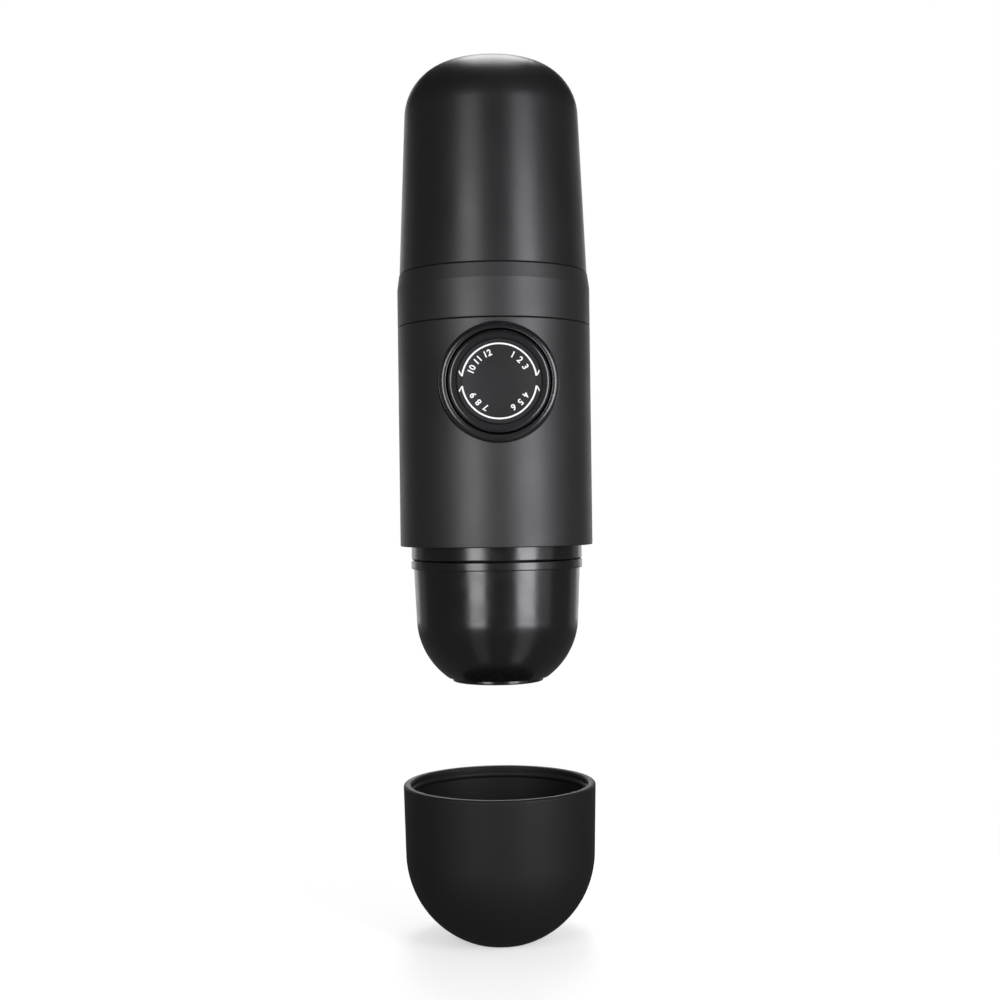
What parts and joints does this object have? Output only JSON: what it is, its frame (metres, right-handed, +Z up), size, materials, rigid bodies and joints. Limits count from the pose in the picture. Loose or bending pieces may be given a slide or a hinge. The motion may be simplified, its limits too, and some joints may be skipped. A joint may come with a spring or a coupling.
{
  "type": "handheld manual espresso maker",
  "caption": "Pocket espresso maker with a screw-on tank, thumb-pumped bayonet knob, screw-on outlet head with filter basket, and a round-bottomed cup that caps the outlet.",
  "frame": {"origin": "centre of the cup's foot, on the surface the cup stands on, on the long axis of the maker held above it", "axes": "+Z up along the maker's long axis; the push knob faces -Y"},
  "size_m": [0.062, 0.0652, 0.2821],
  "materials": {
    "matte_black": "fine satin moulded texture",
    "knob_black": "satin",
    "gloss_black": "polished",
    "inner_plastic": "plain moulded",
    "silicone": "soft matt",
    "steel": "satin"
  },
  "bodies": {
    "main": {"body_shell": "matte_black", "collar": "matte_black", "tank_spigot": "inner_plastic", "inlet_filter": "steel", "air_valve": "silicone", "knob_bezel": "knob_black", "bezel_screws": "steel", "pump_body": "inner_plastic", "return_spring": "steel", "inlet_seat": "inner_plastic", "inlet_spring": "steel", "inlet_oring": "silicone", "outlet_spring": "steel", "outlet_retainer": "inner_plastic", "outlet_oring": "silicone", "brew_head": "gloss_black", "head_gasket": "silicone", "shower_screen": "steel", "screen_screw": "steel"},
    "cup": {"cup": "matte_black"},
    "tank_carrier": {"tank_seal": "silicone"},
    "tank": {"tank": "matte_black"},
    "head_carrier": {"outlet_funnel": "gloss_black", "crema_valve": "silicone"},
    "head": {"outlet_head": "gloss_black"},
    "basket": {"filter_basket": "steel"},
    "plunger": {"piston": "inner_plastic", "piston_seals": "silicone", "knob_screw": "steel"},
    "knob": {"push_knob": "knob_black", "knob_face": "knob_black"},
    "inlet_check": {"inlet_ball": "steel"},
    "outlet_check": {"outlet_ball": "steel"}
  },
  "joints": [
    {"name": "cup_dock", "type": "slide", "parent": "main", "child": "cup", "axis": [0, 0, -1], "range_m": [-0.0766, 0]},
    {"name": "tank_lift", "type": "slide", "parent": "main", "child": "tank_carrier", "axis": [0, 0, 1], "range_m": [0, 0.03]},
    {"name": "tank_turn", "type": "hinge", "parent": "tank_carrier", "child": "tank", "pos_m": [0, 0, 0.2141], "axis": [0, 0, 1], "range_deg": [0, 1080]},
    {"name": "head_drop", "type": "slide", "parent": "main", "child": "head_carrier", "axis": [0, 0, -1], "range_m": [0, 0.03]},
    {"name": "head_turn", "type": "hinge", "parent": "head_carrier", "child": "head", "pos_m": [0, 0, 0.1224], "axis": [0, 0, -1], "range_deg": [0, 1080]},
    {"name": "basket_lift", "type": "slide", "parent": "head_carrier", "child": "basket", "axis": [0, 0, 1], "range_m": [0, 0.012]},
    {"name": "pump_stroke", "type": "slide", "parent": "main", "child": "plunger", "axis": [0, -1, 0], "range_m": [0, 0.018], "deforming": ["return_spring"]},
    {"name": "knob_turn", "type": "hinge", "parent": "plunger", "child": "knob", "pos_m": [0, -0.0342, 0.1773], "axis": [0, -1, 0], "range_deg": [-60, 0]},
    {"name": "inlet_valve", "type": "slide", "parent": "main", "child": "inlet_check", "axis": [0, 0, -1], "range_m": [0, 0.001], "stiffness_N_per_m": 50, "springref_m": -0.001, "deforming": ["inlet_spring"]},
    {"name": "outlet_valve", "type": "slide", "parent": "main", "child": "outlet_check", "axis": [0, 0, -1], "range_m": [0, 0.001], "stiffness_N_per_m": 50, "springref_m": -0.001, "deforming": ["outlet_spring"]}
  ],
  "couplings": [
    {"joint": "tank_lift", "follows": "tank_turn", "m_per_rad": 0.0015915},
    {"joint": "head_drop", "follows": "head_turn", "m_per_rad": 0.0015915},
    {"joint": "basket_lift", "follows": "head_turn", "m_per_rad": 0.0006366}
  ]
}
